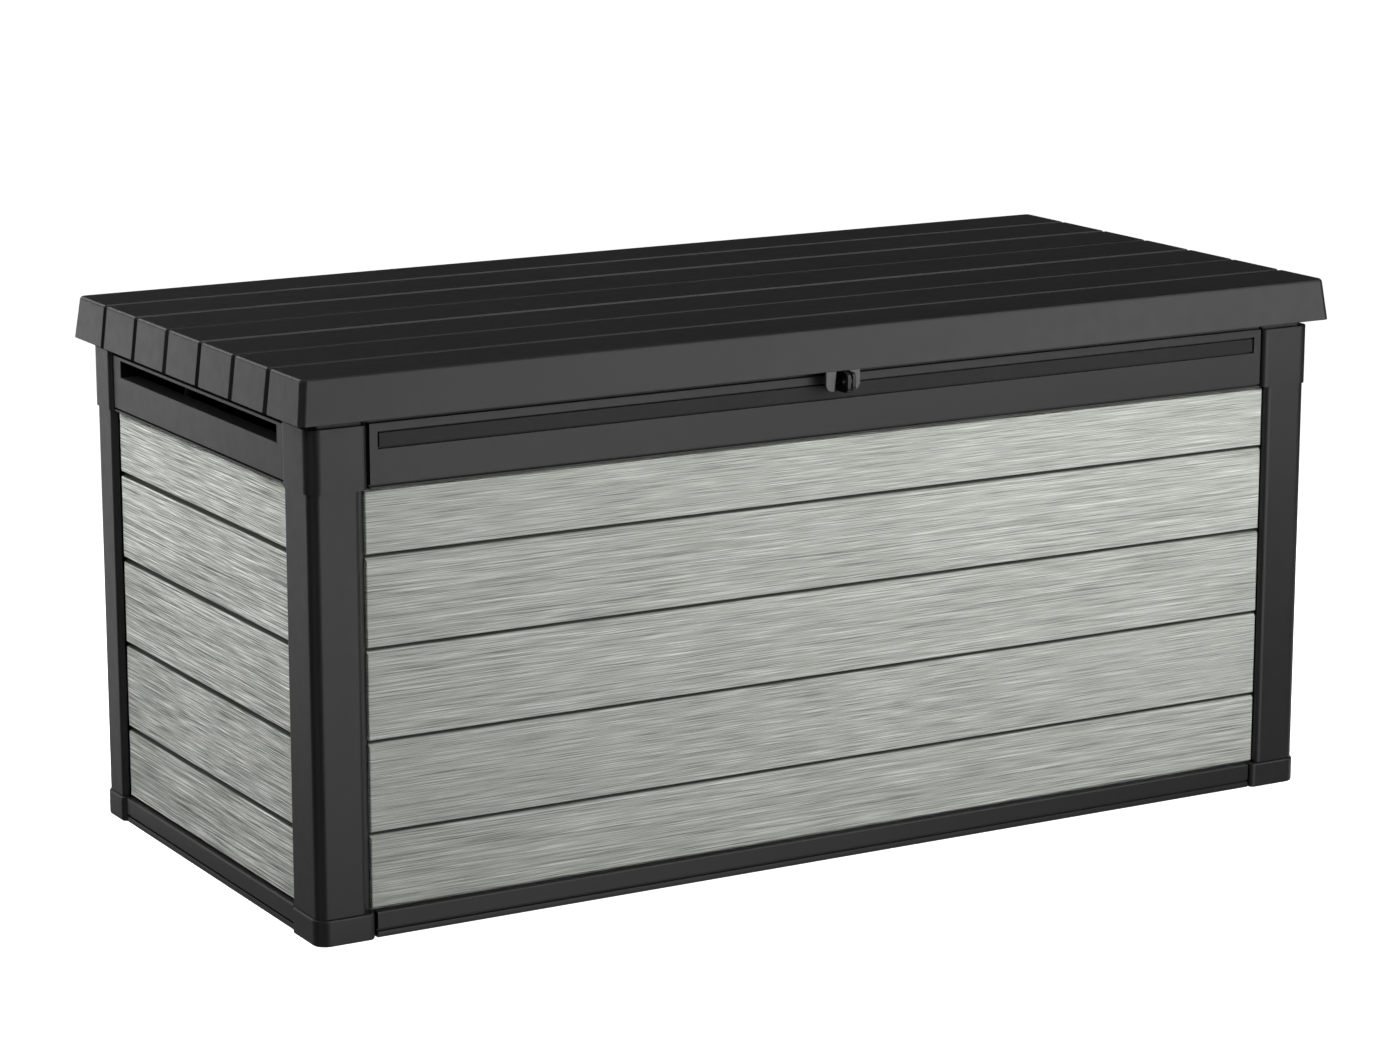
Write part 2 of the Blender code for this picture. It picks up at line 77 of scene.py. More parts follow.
# Between the planks' ends and the posts' flanges, at the low and the high end of each wall
FIELD_GAPS = {"front": (0.0095, 0.0015), "back": (0.0035, 0.0035),
              "left": (0.0035, 0.0035), "right": (0.0035, 0.0035)}

BAND_LOW = 0.6140
BAND_HIGH = 0.6355
BAND_HALF = 0.6560
BAND_POCKET = 0.0052
BAND_SINK = 0.0008
BAND_MARGIN = 0.0018
BAND_EDGE = 0.0007
BAND_RIM = 0.0005
SLOT_RIM = 0.0016
SLOT_ENDS = (-0.2355, 0.2615)
SLOT_CUT = 0.05              # deeper than the rail, so that the slot goes right through
CUT_MARGIN = 0.01            # how far a cutting tool reaches past the surface

LOCK_X = -0.012              # middle of the padlock tab
TAB_WIDTH = 0.0507
TAB_RADIUS = 0.010
TAB_THICK = 0.005
TAB_LIFT = 0.0045            # the tab's rounded foot stops this far above its node's underside
NOTCH_HALF = 0.010
TONGUE_HALF = 0.0025
TONGUE_TOP = 0.6532
EAR_X = (-0.0060, -0.0010)
LUG_HOLE = (-0.3617, 0.6410)
LUG_HOLE_RADIUS = 0.0042
LUG_NOSE = 0.007
LUG_EDGE = 0.0007
EAR_LOW = 0.6285
EAR_ROOT = 0.004             # where the ear starts, behind the tab's face
TONGUE_LOW = 0.6270
TONGUE_PLATE = 0.004         # thickness of the plate behind the tongue, hidden by the tab
PLATE_EDGE = 0.0010
TAB_OVERLAP = 0.0010         # the tab's top reaches this far up inside the skirt
TAB_EDGE = 0.0008
NOTCH_ROLL = 0.0036          # rounding of the notch's left lip
NOTCH_TOP = 0.0012

SCREW_SPREAD = 0.018
SCREW_RISE = 0.011
SCREW_RADIUS = 0.0042
SCREW_HEIGHT = 0.0016
HINGE_LEAF = 0.003           # thickness of a hinge leaf

# Under the lid the rim steps back: where the step starts, and how deep it is
STEP_CAP = (0.6450, 0.009)
STEP_LONG_RAIL = (0.6462, 0.007)
STEP_END_RAIL = (0.6405, 0.007)

# Each rail steps back beside the caps and feet, so that their rounded flanges show
RAIL_END_GAP = 0.0030
RAIL_END_SINK = 0.0090
POST_RADIUS = 0.014
CAP_RADIUS = 0.018
FLANGE_RADIUS = 0.008
FOOT_EDGE = 0.0026
POST_EDGE = 0.0008
CAP_EDGE = 0.0013

# Straight walls: the axis that each one runs along, and the side it stands on
WALLS = {"front": (0, -1), "back": (0, 1), "left": (1, -1), "right": (1, 1)}
CORNERS = {"front_left": (-1, -1), "front_right": (1, -1), "back_left": (-1, 1), "back_right": (1, 1)}


# ---------------------------------------------------------------- materials
# Noise scales, per metre
TONE_DRIFT = 5.0
SHEEN_DRIFT = 60.0
SPARK_GRAIN = 900.0
DRAWN_STREAKS = 700.0
SHEEN_SPREAD = 0.025
GRAIN_DEPTH = 0.0003
STREAK_DEPTH = 0.0002
PLANK_GRAIN_DEPTH = 0.0009
# Layers of wood grain: scale along the plank, scale across it, detail, and share of the tone
GRAIN_LAYERS = {"fine": (8.0, 850.0, 2.0, 0.46), "hair": (17.0, 1700.0, 2.0, 0.42),
                "coarse": (2.6, 400.0, 1.0, 0.09), "cloud": (2.5, 10.0, 2.0, 0.03)}
GRAIN_SHIFT = 7.31           # how far the noise moves on from one plank to the next
SEAM_SHADE = (0.0070, 0.24)  # how far below the gap the painted shade starts, and how dark it gets
GAP_SHADOW_LINE = (0.0014, 0.76)   # how high the soft edge of the painted shadow in the gap is, and how much darker it gets
# Colour of the painted highlight along each plank's lower edge
EDGE_HIGHLIGHT = (0.72, 0.74, 0.70)


def new_material(name, roughness=0.4, metallic=0.0, specular=0.5):
    """A material with its tree, its shader and the object coordinates of the surface."""
    material = bpy.data.materials.new(name)
    material.use_nodes = True
    tree = material.node_tree
    shader = tree.nodes["Principled BSDF"]
    shader.inputs["Roughness"].default_value = roughness
    shader.inputs["Metallic"].default_value = metallic
    shader.inputs["Specular IOR Level"].default_value = specular
    place = tree.nodes.new("ShaderNodeTexCoord").outputs["Object"]
    return material, tree, shader, place


def noise(tree, vector, scale, detail=3.0, rough=0.55):
    node = tree.nodes.new("ShaderNodeTexNoise")
    node.inputs["Scale"].default_value = scale
    node.inputs["Detail"].default_value = detail
    node.inputs["Roughness"].default_value = rough
    tree.links.new(vector, node.inputs["Vector"])
    return node.outputs["Fac"]


def math_node(tree, operation, first, second=None, third=None):
    node = tree.nodes.new("ShaderNodeMath")
    node.operation = operation
    for socket, value in zip(node.inputs, (first, second, third)):
        if isinstance(value, (int, float)):
            socket.default_value = value
        elif value is not None:
            tree.links.new(value, socket)
    return node.outputs["Value"]


def remap(tree, value, from_low, from_high, to_low, to_high):
    node = tree.nodes.new("ShaderNodeMapRange")
    tree.links.new(value, node.inputs["Value"])
    for name, number in zip(("From Min", "From Max", "To Min", "To Max"),
                            (from_low, from_high, to_low, to_high)):
        node.inputs[name].default_value = number
    return node.outputs["Result"]


def ramp(tree, value, stops):
    node = tree.nodes.new("ShaderNodeValToRGB")
    elements = node.color_ramp.elements
    while len(elements) < len(stops):
        elements.new(0.5)
    for element, (place, colour) in zip(elements, stops):
        element.position = place
        element.color = (*colour, 1)
    tree.links.new(value, node.inputs["Fac"])
    return node.outputs["Color"]


def blend(tree, factor, first, second):
    """Mixes a colour output with a plain colour."""
    node = tree.nodes.new("ShaderNodeMix")
    node.data_type = "RGBA"
    tree.links.new(factor, node.inputs["Factor"])
    tree.links.new(first, node.inputs["A"])
    node.inputs["B"].default_value = (*second, 1)
    return node.outputs["Result"]


def bump(tree, shader, height, strength, distance):
    node = tree.nodes.new("ShaderNodeBump")
    node.inputs["Strength"].default_value = strength
    node.inputs["Distance"].default_value = distance
    tree.links.new(height, node.inputs["Height"])
    tree.links.new(node.outputs["Normal"], shader.inputs["Normal"])


def moulded(name, colour, roughness, grain=0.10, specular=0.5):
    """Moulded resin: an even spark-eroded grain, with a faint drift of tone and sheen."""
    material, tree, shader, place = new_material(name, roughness, specular=specular)
    drift = noise(tree, place, TONE_DRIFT, 2.0)
    low = [c * 0.88 for c in colour]
    high = [c * 1.12 for c in colour]
    tree.links.new(ramp(tree, drift, ((0.3, low), (0.7, high))), shader.inputs["Base Color"])
    sheen = noise(tree, place, SHEEN_DRIFT, 3.0)
    spread = remap(tree, sheen, 0.3, 0.7, roughness - SHEEN_SPREAD, roughness + SHEEN_SPREAD)
    tree.links.new(spread, shader.inputs["Roughness"])
    bump(tree, shader, noise(tree, place, SPARK_GRAIN, 2.0), grain, GRAIN_DEPTH)
    return material


def brushed_metal(name, colour, roughness, metallic=1.0):
    """Plated or painted steel: drawn streaks along Z and a mottled sheen."""
    material, tree, shader, place = new_material(name, roughness, metallic)
    stretch = tree.nodes.new("ShaderNodeMapping")
    stretch.inputs["Scale"].default_value = (1.0, 1.0, 0.08)
    tree.links.new(place, stretch.inputs["Vector"])
    streaks = noise(tree, stretch.outputs["Vector"], DRAWN_STREAKS, 3.0)
    low = [c * 0.82 for c in colour]
    tree.links.new(ramp(tree, streaks, ((0.3, low), (0.7, colour))), shader.inputs["Base Color"])
    tree.links.new(remap(tree, streaks, 0.3, 0.7, roughness - 0.05, roughness + 0.08),
                   shader.inputs["Roughness"])
    bump(tree, shader, streaks, 0.08, STREAK_DEPTH)
    return material


def plank_grain(name, run_axis, stops, relief, edge_light, seam_low, gap_shade_colour):
    """Brushed wood grain along one axis, drawn afresh for each plank.

    Each plank gets a painted highlight along its lower edge. Its top is painted darker, as painted shade
    and a painted shadow line in the gap under the next plank's edge, which starts seam_low below the lap.
    """
    material, tree, shader, place = new_material(name, 0.55, specular=0.35)
    split = tree.nodes.new("ShaderNodeSeparateXYZ")
    tree.links.new(place, split.inputs["Vector"])
    run = split.outputs["XY"[run_axis]]
    height = split.outputs["Z"]
    planks = math_node(tree, "DIVIDE", math_node(tree, "SUBTRACT", height, LAP_FIRST), LAP_PITCH)
    number = math_node(tree, "FLOOR", planks)
    above_lap = math_node(tree, "MULTIPLY", math_node(tree, "FRACT", planks), LAP_PITCH)
    shift = math_node(tree, "MULTIPLY", number, GRAIN_SHIFT)

    def streaks(per_metre_along, per_metre_across, detail):
        """Noise drawn out along the plank."""
        join = tree.nodes.new("ShaderNodeCombineXYZ")
        tree.links.new(math_node(tree, "MULTIPLY_ADD", run, per_metre_along, shift), join.inputs["X"])
        tree.links.new(math_node(tree, "MULTIPLY", height, per_metre_across), join.inputs["Y"])
        tree.links.new(shift, join.inputs["Z"])
        return noise(tree, join.outputs["Vector"], 1.0, detail, 0.6)

    layers = {layer: streaks(*scales) for layer, (*scales, _) in GRAIN_LAYERS.items()}
    tone = 0.0
    for layer, (*_, share) in GRAIN_LAYERS.items():
        tone = math_node(tree, "MULTIPLY_ADD", layers[layer], share, tone)
    grain = ramp(tree, tone, stops)

    # Painted shade: the plank's top is darkened towards gap_shade_colour, a soft shade and then a darker
    # shadow line, standing for the shadow in the gap under the next plank's edge.
    seam = LAP_PITCH - seam_low
    shade_reach, shade_share = SEAM_SHADE
    line_height, line_share = GAP_SHADOW_LINE
    shade = remap(tree, above_lap, seam - shade_reach, seam, 0.0, shade_share)
    line = remap(tree, above_lap, seam, seam + line_height, 0.0, line_share)
    colour = blend(tree, math_node(tree, "ADD", shade, line), grain, gap_shade_colour)
    # Painted highlight: the plank's lowest few millimetres are lightened towards EDGE_HIGHLIGHT, standing
    # for light caught by the rounded edge.
    lower_edge_highlight = remap(tree, above_lap, 0.0006, 0.0026, edge_light, 0.0)
    tree.links.new(blend(tree, lower_edge_highlight, colour, EDGE_HIGHLIGHT), shader.inputs["Base Color"])
    tree.links.new(remap(tree, layers["fine"], 0.3, 0.7, 0.62, 0.48), shader.inputs["Roughness"])
    ridges = math_node(tree, "MULTIPLY_ADD", layers["hair"], 0.35, layers["fine"])
    bump(tree, shader, ridges, relief, PLANK_GRAIN_DEPTH)
    return material


PLANK_STOPS = ((0.37, (0.130, 0.136, 0.118)), (0.455, (0.325, 0.336, 0.304)),
               (0.54, (0.440, 0.453, 0.418)), (0.63, (0.690, 0.705, 0.665)))
END_STOPS = ((0.40, (0.080, 0.084, 0.073)), (0.47, (0.280, 0.290, 0.262)),
             (0.53, (0.450, 0.462, 0.428)), (0.60, (0.800, 0.815, 0.775)))
FINISHES = {
    "charcoal": moulded("charcoal_resin", (0.0080, 0.0081, 0.0082), 0.40),
    "lid_charcoal": moulded("lid_resin", (0.0080, 0.0081, 0.0082), 0.40),
    "liner_black": moulded("liner_resin", (0.0120, 0.0122, 0.0125), 0.46),
    "eye_black": moulded("eye_resin", (0.0035, 0.0035, 0.0036), 0.22, grain=0.03),
    "zinc_steel": brushed_metal("zinc_plate", (0.52, 0.53, 0.55), 0.34),
    "strut_paint": brushed_metal("strut_black_paint", (0.012, 0.012, 0.013), 0.30, metallic=0.0),
    "strut_chrome": brushed_metal("strut_rod_chrome", (0.62, 0.63, 0.65), 0.14),
}
# The tab is the same charcoal resin, painted lighter: painted light for the light that its bulging face
# catches.
TAB_PAINTED_LIGHT_FINISH = moulded("tab_resin_painted_light", (0.0620, 0.0626, 0.0632), 0.34)
BAND_FINISH = moulded("band_resin", (0.0040, 0.0041, 0.0042), 0.52, grain=0.16, specular=0.38)
# After the stops come the grain's relief, the strength of the painted edge highlight, how far below the
# lap the painted gap shade starts, and the colour of that painted shade.
PLANK_FINISHES = (
    plank_grain("plank_grain_long", 0, PLANK_STOPS, 0.45, 0.45, 0.0056, (0.010, 0.012, 0.007)),
    plank_grain("plank_grain_end", 1, END_STOPS, 0.80, 0.35, 0.0078, (0.008, 0.010, 0.005)))


# ---------------------------------------------------------------- mesh helpers
def at(axis, station, u, v):
    """A point at a station along one axis; u and v are its other two coordinates, in order."""
    point = [u, v]
    point.insert(axis, station)
    return point


def arc(centre, radius, start, end, steps=CORNER_STEPS):
    """Points along an arc, angles in degrees."""
    turns = [radians(start + (end - start) * i / steps) for i in range(steps + 1)]
    return [(centre[0] + radius * cos(t), centre[1] + radius * sin(t)) for t in turns]


def loft(rings):
    """A closed mesh through rings of equal length, capped at both ends."""
    work = bmesh.new()
    loops = [[work.verts.new(point) for point in ring] for ring in rings]
    for near, far in zip(loops, loops[1:]):
        for i, vert in enumerate(near):
            j = (i + 1) % len(near)
            work.faces.new((vert, near[j], far[j], far[i]))
    work.faces.new(loops[0][::-1])
    work.faces.new(loops[-1])
    bmesh.ops.recalc_face_normals(work, faces=work.faces)
    return work


def to_object(work, name):
    mesh = bpy.data.meshes.new(name)
    work.to_mesh(mesh)
    work.free()
    obj = bpy.data.objects.new(name, mesh)
    bpy.context.scene.collection.objects.link(obj)
    return obj


def settle(obj):
    """Turns the modifiers' result into the object's own mesh."""
    bpy.context.view_layer.update()
    graph = bpy.context.evaluated_depsgraph_get()
    mesh = bpy.data.meshes.new_from_object(obj.evaluated_get(graph))
    mesh.name = obj.name
    obj.modifiers.clear()
    obj.data = mesh
    return obj


def combine(obj, tool, operation):
    """Cuts a tool out of an object, or joins it on, and removes the tool."""
    modifier = obj.modifiers.new("tool", "BOOLEAN")
    modifier.operation = operation
    modifier.solver = "EXACT"
    modifier.object = tool
    settle(obj)
    bpy.data.objects.remove(tool)
    return obj


def block(low, high):
    """A plain box between two corners, as a tool or as the start of a piece."""
    rings = [[(x, low[1], low[2]), (x, high[1], low[2]), (x, high[1], high[2]), (x, low[1], high[2])]
             for x in (low[0], high[0])]
    return to_object(loft(rings), "block")


def round_edges(obj, width, chosen=None, segments=3, angle=35):
    """Rounds an object's sharp edges, or only those whose middle is chosen."""
    work = bmesh.new()
    work.from_mesh(obj.data)
    edges = [e for e in work.edges
             if len(e.link_faces) == 2 and e.calc_face_angle() > radians(angle)
             and (chosen is None or chosen((e.verts[0].co + e.verts[1].co) / 2))]
    bmesh.ops.bevel(work, geom=edges, offset=width, segments=segments, profile=0.5,
                    affect="EDGES", clamp_overlap=True)
    work.to_mesh(obj.data)
    work.free()
    return obj


def piece(obj, name, body, slot, nodes=(), finish=None, sharp=50):
    """Shades and paints an object, and hands it to the frame."""
    obj.name = name
    obj.data.name = name
    obj.data.materials.clear()
    obj.data.materials.append(finish or FINISHES[slot])
    obj.data.shade_smooth()
    obj.data.set_sharp_from_angle(angle=radians(sharp))
    weigh = obj.modifiers.new("flat_faces_stay_flat", "WEIGHTED_NORMAL")
    weigh.keep_sharp = True
    weigh.weight = 100
    settle(obj)
    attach(obj, body)
    if nodes:
        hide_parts(*nodes)
    return obj


# ---------------------------------------------------------------- corners
def outer_face(node, axis, sign):
    low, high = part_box(node)
    return high[axis] if sign > 0 else low[axis]


def inner_face(node, axis, sign):
    return outer_face(node, axis, -sign)


def corner_outline(low, high, side, inner, radius, inset=0.0):
    """An L round one corner: the outer corner and the flanges' ends are rounded.

    The outer faces can be set in from the node's box. The points are worked out for one quarter, as
    distances from the body's middle, and then put on their own side.
    """
    outer = [(high[i] if side[i] > 0 else low[i]) - side[i] * inset for i in (0, 1)]
    ends = [low[i] if side[i] > 0 else high[i] for i in (0, 1)]
    (ox, oy), (ix, iy), (ex, ey) = [(abs(x), abs(y - BODY_SHIFT)) for x, y in (outer, inner, ends)]
    points = [(ex, iy)]
    points += arc((ex + FLANGE_RADIUS, oy - FLANGE_RADIUS), FLANGE_RADIUS, 180, 90)
    points += arc((ox - radius, oy - radius), radius, 90, 0)
    points += arc((ox - FLANGE_RADIUS, ey + FLANGE_RADIUS), FLANGE_RADIUS, 0, -90)
    points += [(ix, ey), (ix, iy)]
    return [(side[0] * x, side[1] * y + BODY_SHIFT) for x, y in points]


def build_corners():
    """Feet, posts and caps, one above the other at each corner.

    Feet and caps are as thick as the rails beside them, and the posts lie against the wall panels.
    """
    kinds = {"foot": (CAP_RADIUS, FOOT_EDGE), "corner_post": (POST_RADIUS, POST_EDGE),
             "post_cap": (CAP_RADIUS, CAP_EDGE)}
    for where, side in CORNERS.items():
        depth, hand = where.split("_")
        for kind, (radius, edge) in kinds.items():
            low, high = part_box(f"{kind}_{where}")
            if kind == "corner_post":
                inner = [outer_face(f"wall_panel_{hand}", 0, side[0]) + side[0] * GAP,
                         outer_face(f"wall_panel_{depth}", 1, side[1]) + side[1] * GAP]
            else:
                inner = [inner_face(f"base_rail_{hand}", 0, side[0]),
                         inner_face(f"base_rail_{depth}", 1, side[1])]
            outline = corner_outline(low, high, side, inner, radius)
            levels = [(low.z, outline), (high.z, outline)]
            if kind == "post_cap":
                step, inset = STEP_CAP
                stepped = corner_outline(low, high, side, inner, radius - inset, inset)
                levels = [(low.z, outline), (step, outline), (step, stepped), (high.z, stepped)]
            obj = to_object(loft([[(x, y, z) for x, y in points] for z, points in levels]), kind)
            round_edges(obj, edge)
            piece(obj, f"{kind}_shell_{where}", "root", "charcoal", [f"{kind}_{where}"])


# ---------------------------------------------------------------- walls and rails
# Profiles, as (depth inside the outer face, height from where they start)
PANEL_FOOT = ((0.0042, 0.0001), (0.0040, 0.0024), (0.0015, 0.0026), (0.0004, 0.0031), (0, 0.0045))
LAP = ((0, -0.0100), (0.0003, -0.0087), (0.0011, -0.0074), (0.0024, -0.0062), (0.0038, -0.0052),
       (0.0046, -0.0038), (0.0048, -0.0004), (0.0040, -0.0002), (0.0014, 0), (0.0005, 0.0004),
       (0.0001, 0.0011), (0, 0.0022))
PANEL_HEAD = ((0, -0.0060), (0.0004, -0.0046), (0.0015, -0.0039), (0.0040, -0.0036), (0.0042, -0.0001))
PANEL_END_ROLL = ((0.0016, 0.0), (0.0007, 0.0004), (0.0002, 0.0011), (0, 0.0022))
TOP_RAIL_LIP = ((0.0006, 0), (0, 0.0005), (0, 0.0022), (0.0003, 0.0025), (0.0050, 0.0026),
                (0.0050, 0.0050), (0.0003, 0.0051), (0, 0.0056))
BASE_RAIL_LIP = ((0.0015, 0), (0.0004, 0.0004), (0, 0.0015), (0, 0.0072), (0.0004, 0.0077),
                 (0.0045, 0.0079), (0.0045, 0.0103), (0.0006, 0.0105), (0.0002, 0.0111), (0, 0.0120))
BASE_RAIL_BROW = ((0, -0.0022), (0.0006, -0.0008), (0.0020, 0))
TOP_RAIL_BEVEL = 0.0012
BASE_RAIL_BEVEL = 0.0015


def run_of_wall(node, run, sign, profile, stations):
    """Lofts a section, given as (depth inside the outer face, height), along a wall."""
    face = outer_face(node, 1 - run, sign)
    rings = []
    for station, least in stations:
        rings.append([at(run, station, face - sign * max(depth, least), z) for depth, z in profile])
    return to_object(loft(rings), node)


def raised(profile, height):
    return [(depth, height + rise) for depth, rise in profile]


def lapped_section(low, high, thick):
    """Five lapped planks: each upper one overhangs a dark gap above the next one's rolled top edge."""
    points = [(thick, low)] + raised(PANEL_FOOT, low)
    for i in range(LAP_COUNT):
        points += raised(LAP, LAP_FIRST + LAP_PITCH * i)
    return points + raised(PANEL_HEAD, high) + [(thick, high)]


def panel_ends(name, run):
    """Where the posts' flanges end, at the low and the high end of a wall."""
    if run == 0:
        posts = f"corner_post_{name}_left", f"corner_post_{name}_right"
    else:
        posts = f"corner_post_front_{name}", f"corner_post_back_{name}"
    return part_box(posts[0])[1][run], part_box(posts[1])[0][run]


def build_panels():
    """Each wall: one moulding whose planks stand proud of a slab that runs on behind the posts."""
    for name, (run, sign) in WALLS.items():
        node = f"wall_panel_{name}"
        low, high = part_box(node)
        thick = high[1 - run] - low[1 - run]
        first, last = panel_ends(name, run)
        first += FIELD_GAPS[name][0]
        last -= FIELD_GAPS[name][1]
        stations = [(low[run], SLAB_SINK), (first - HAIRLINE, SLAB_SINK)]
        stations += [(first + step, sink) for sink, step in PANEL_END_ROLL]
        stations += [(last - step, sink) for sink, step in reversed(PANEL_END_ROLL)]
        stations += [(last + HAIRLINE, SLAB_SINK), (high[run], SLAB_SINK)]
        obj = run_of_wall(node, run, sign, lapped_section(low.z, high.z, thick), stations)
        piece(obj, f"planks_{name}", "root", "plank", [node], PLANK_FINISHES[run], sharp=40)
        obj.data.materials.append(FINISHES["charcoal"])
        for face in obj.data.polygons:
            if not first - GAP < face.center[run] < last + GAP:
                face.material_index = 1


def back_of_rail(thick, low, high, bevel):
    """The bevelled inner side that both kinds of rail share, from the top down."""
    return [(thick - bevel, high), (thick, high - bevel), (thick, low + bevel), (thick - bevel, low)]


def top_rail_section(low, high, thick, step):
    """Plain face over a thin lip, with a fine groove between them, and a step back under the lid."""
    level, back = step
    points = raised(TOP_RAIL_LIP, low)
    points += [(0, level - 0.0008), (0.0003, level - 0.0002), (0.0010, level), (back, level + 0.0001),
               (back, high - 0.0004), (back + 0.0010, high)]
    return points + back_of_rail(thick, low, high, TOP_RAIL_BEVEL)


def base_rail_section(low, high, thick):
    """A kick rail: rounded top edge, a groove near the floor, and a lip below it."""
    points = raised(BASE_RAIL_LIP, low) + raised(BASE_RAIL_BROW, high)
    return points + back_of_rail(thick, low, high, BASE_RAIL_BEVEL)


def rail_stations(first, last):
    """The rail's ends step back beside the caps and feet."""
    inner = RAIL_END_GAP + GAP
    return [(first, RAIL_END_SINK), (first + RAIL_END_GAP, RAIL_END_SINK), (first + inner, 0.0),
            (last - inner, 0.0), (last - RAIL_END_GAP, RAIL_END_SINK), (last, RAIL_END_SINK)]


def build_rails():
    for name, (run, sign) in WALLS.items():
        for level in ("base", "top"):
            node = f"{level}_rail_{name}"
            low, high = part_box(node)
            thick = high[1 - run] - low[1 - run]
            if level == "top":
                section = top_rail_section(low.z, high.z, thick, (STEP_LONG_RAIL, STEP_END_RAIL)[run])
            else:
                section = base_rail_section(low.z, high.z, thick)
            obj = run_of_wall(node, run, sign, section, rail_stations(low[run], high[run]))
            if level == "top":
                open_top_rail(obj, name, run, sign)
            piece(obj, f"{level}_rail_moulding_{name}", "root", "charcoal", [node])


def open_top_rail(obj, name, run, sign):
    """Cuts the long rails' shallow pocket, or the end rails' hand slot, and rounds its rim."""
    face = outer_face(f"top_rail_{name}", 1 - run, sign)
    depth = BAND_POCKET if run == 0 else SLOT_CUT
    first, last = (-BAND_HALF, BAND_HALF) if run == 0 else SLOT_ENDS
    across = sorted((face + sign * CUT_MARGIN, face - sign * depth))
    low = at(run, first, across[0], BAND_LOW)
    high = at(run, last, across[1], BAND_HIGH)
    combine(obj, block(low, high), "DIFFERENCE")

    def on_rim(point):
        inside = first - TOLERANCE < point[run] < last + TOLERANCE
        level = BAND_LOW - TOLERANCE < point.z < BAND_HIGH + TOLERANCE
        return inside and level and abs(point[1 - run] - face) < TOLERANCE

    round_edges(obj, BAND_RIM if run == 0 else SLOT_RIM, on_rim)
    if run == 0:
        build_band(name, sign, face)


def build_band(name, sign, face):
    """The flat strip that lies in a long rail's pocket, with a fine gap all round it."""
    across = sorted((face - sign * BAND_SINK, face - sign * (BAND_POCKET + GAP)))
    strip = block((-BAND_HALF + BAND_MARGIN, across[0], BAND_LOW + BAND_MARGIN),
                  (BAND_HALF - BAND_MARGIN, across[1], BAND_HIGH - BAND_MARGIN))
    round_edges(strip, BAND_EDGE)
    piece(strip, f"rail_band_{name}", "root", "charcoal", finish=BAND_FINISH)


# ---------------------------------------------------------------- lid
def frustum(half_x, front, back, bottom, top, draft, corner, edge):
    """A drafted tray, upside down and open below, with rounded corners and top edge."""
    work = bmesh.new()
    bmesh.ops.create_cube(work, size=1)
    for vert in work.verts:
        at_top = vert.co.z > 0
        lean = draft if at_top else 0
        vert.co.x = half_x - lean if vert.co.x > 0 else lean - half_x
        vert.co.y = back - lean if vert.co.y > 0 else front + lean
        vert.co.z = top if at_top else bottom
    upright = [e for e in work.edges if abs(e.verts[0].co.z - e.verts[1].co.z) > 0.01]
    bmesh.ops.bevel(work, geom=upright, offset=corner, segments=8, affect="EDGES", profile=0.5)
    rim = [e for e in work.edges if min(v.co.z for v in e.verts) > top - TOLERANCE]
    bmesh.ops.bevel(work, geom=rim, offset=edge, segments=4, affect="EDGES", profile=0.5)
    below = [f for f in work.faces if all(v.co.z < bottom + TOLERANCE for v in f.verts)]
    bmesh.ops.delete(work, geom=below, context="FACES")
    return work


def groove_places():
    """The Y of each groove's middle."""
    return [BODY_SHIFT + (i - (LID_PLANKS - 2) / 2) * LID_PITCH for i in range(LID_PLANKS - 1)]


def score(work):
    """Cuts lines along every groove, so that the two skins of the lid match point for point."""
    for middle in groove_places():
        for share, _ in GROOVE_LINES:
            for sign in (-1, 1):
                geometry = work.verts[:] + work.edges[:] + work.faces[:]
                bmesh.ops.bisect_plane(work, geom=geometry, plane_no=(0, 1, 0),
                                       plane_co=(0, middle + sign * share * GROOVE_WIDTH, 0))


def press_grooves(work):
    """Pushes the cut lines in along the surface's own normal, which lies across the groove."""
    depth_at = {}
    for middle in groove_places():
        for share, push in GROOVE_LINES:
            for sign in (-1, 1):
                depth_at[round(middle + sign * share * GROOVE_WIDTH, 5)] = push * GROOVE_DEPTH
    work.normal_update()
    moves = []
    for vert in work.verts:
        push = depth_at.get(round(vert.co.y, 5))
        if push:
            inward = -Vector((vert.normal.x, 0, vert.normal.z)).normalized()
            moves.append((vert, inward * push))
    for vert, move in moves:
        vert.co += move


def build_lid():
    low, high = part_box("lid_shell")
    back = high.y
    front = back - LID_DEPTH
    outer = frustum(high.x, front, back, LID_SKIRT_BOTTOM, high.z, LID_DRAFT, LID_CORNER, LID_EDGE)
    inner = frustum(high.x - LID_WALL, front + LID_WALL, back - LID_WALL, LID_SKIRT_BOTTOM,
                    high.z - LID_WALL, LID_DRAFT, LID_CORNER - LID_WALL, LID_INNER_EDGE)
    for skin in (outer, inner):
        score(skin)
    press_grooves(outer)
    for face in inner.faces:
        face.normal_flip()
    scratch = bpy.data.meshes.new("inner_skin")
    inner.to_mesh(scratch)
    inner.free()
    outer.from_mesh(scratch)
    bpy.data.meshes.remove(scratch)
    rim = [e for e in outer.edges if len(e.link_faces) == 1]
    bmesh.ops.bridge_loops(outer, edges=rim)
    bmesh.ops.recalc_face_normals(outer, faces=outer.faces)
    shell = to_object(outer, "lid")

    def under_skirt(point):
        return abs(point.z - LID_SKIRT_BOTTOM) < TOLERANCE

    round_edges(shell, SKIRT_EDGE, under_skirt, segments=2)
    piece(shell, "lid_moulding", "lid", "lid_charcoal", ["lid_shell"], sharp=60)


# ---------------------------------------------------------------- padlock eye and hinges
def peg(radius, centre, first, last, steps=32):
    """A round bar along X; centre is its Y and Z."""
    ring = arc(centre, radius, 0, 360 - 360 / steps, steps - 1)
    return to_object(loft([[(x, y, z) for y, z in ring] for x in (first, last)]), "peg")


